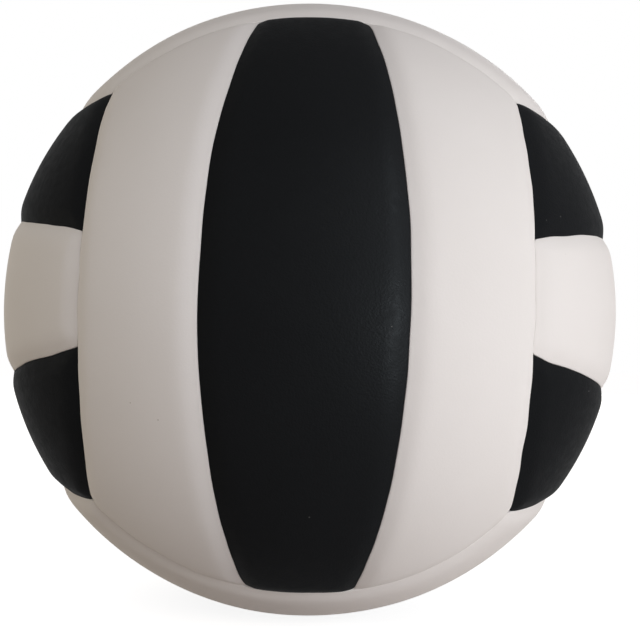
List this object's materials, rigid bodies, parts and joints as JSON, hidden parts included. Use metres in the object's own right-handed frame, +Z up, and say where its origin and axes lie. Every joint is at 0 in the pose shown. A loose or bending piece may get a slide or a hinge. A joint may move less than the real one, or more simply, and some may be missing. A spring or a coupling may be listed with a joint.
{
  "type": "volleyball",
  "caption": "Black and white volleyball with soft padded strip panels, crowned and rolled into the seams, over a wound bladder with a needle valve.",
  "frame": {"origin": "the ball's centre", "axes": "+Z up along the front face's strips, -Y out of the front face, +X out of the valve"},
  "size_m": [0.2099, 0.21, 0.21],
  "materials": {
    "cover_white": "satin grain",
    "cover_black": "satin grain",
    "foam": "matt",
    "lining_rubber": "matt",
    "winding_thread": "matt",
    "bladder_rubber": "satin",
    "valve_rubber": "satin",
    "valve_core_rubber": "satin"
  },
  "bodies": {
    "root": {"cover_front_left": "cover_white", "cover_front_middle": "cover_black", "cover_front_right": "cover_white", "cover_back_left": "cover_white", "cover_back_middle": "cover_black", "cover_back_right": "cover_white", "cover_left_lower": "cover_black", "cover_left_middle": "cover_white", "cover_left_upper": "cover_black", "cover_right_lower": "cover_black", "cover_right_middle": "cover_white", "cover_right_upper": "cover_black", "cover_top_front": "cover_white", "cover_top_middle": "cover_black", "cover_top_rear": "cover_white", "cover_bottom_front": "cover_white", "cover_bottom_middle": "cover_black", "cover_bottom_rear": "cover_white", "foam_front_left": "foam", "foam_front_middle": "foam", "foam_front_right": "foam", "foam_back_left": "foam", "foam_back_middle": "foam", "foam_back_right": "foam", "foam_left_lower": "foam", "foam_left_middle": "foam", "foam_left_upper": "foam", "foam_right_lower": "foam", "foam_right_middle": "foam", "foam_right_upper": "foam", "foam_top_front": "foam", "foam_top_middle": "foam", "foam_top_rear": "foam", "foam_bottom_front": "foam", "foam_bottom_middle": "foam", "foam_bottom_rear": "foam", "carcass_lining": "lining_rubber", "thread_winding": "winding_thread", "bladder": "bladder_rubber", "valve_housing": "valve_rubber", "valve_core": "valve_core_rubber"}
  },
  "joints": []
}
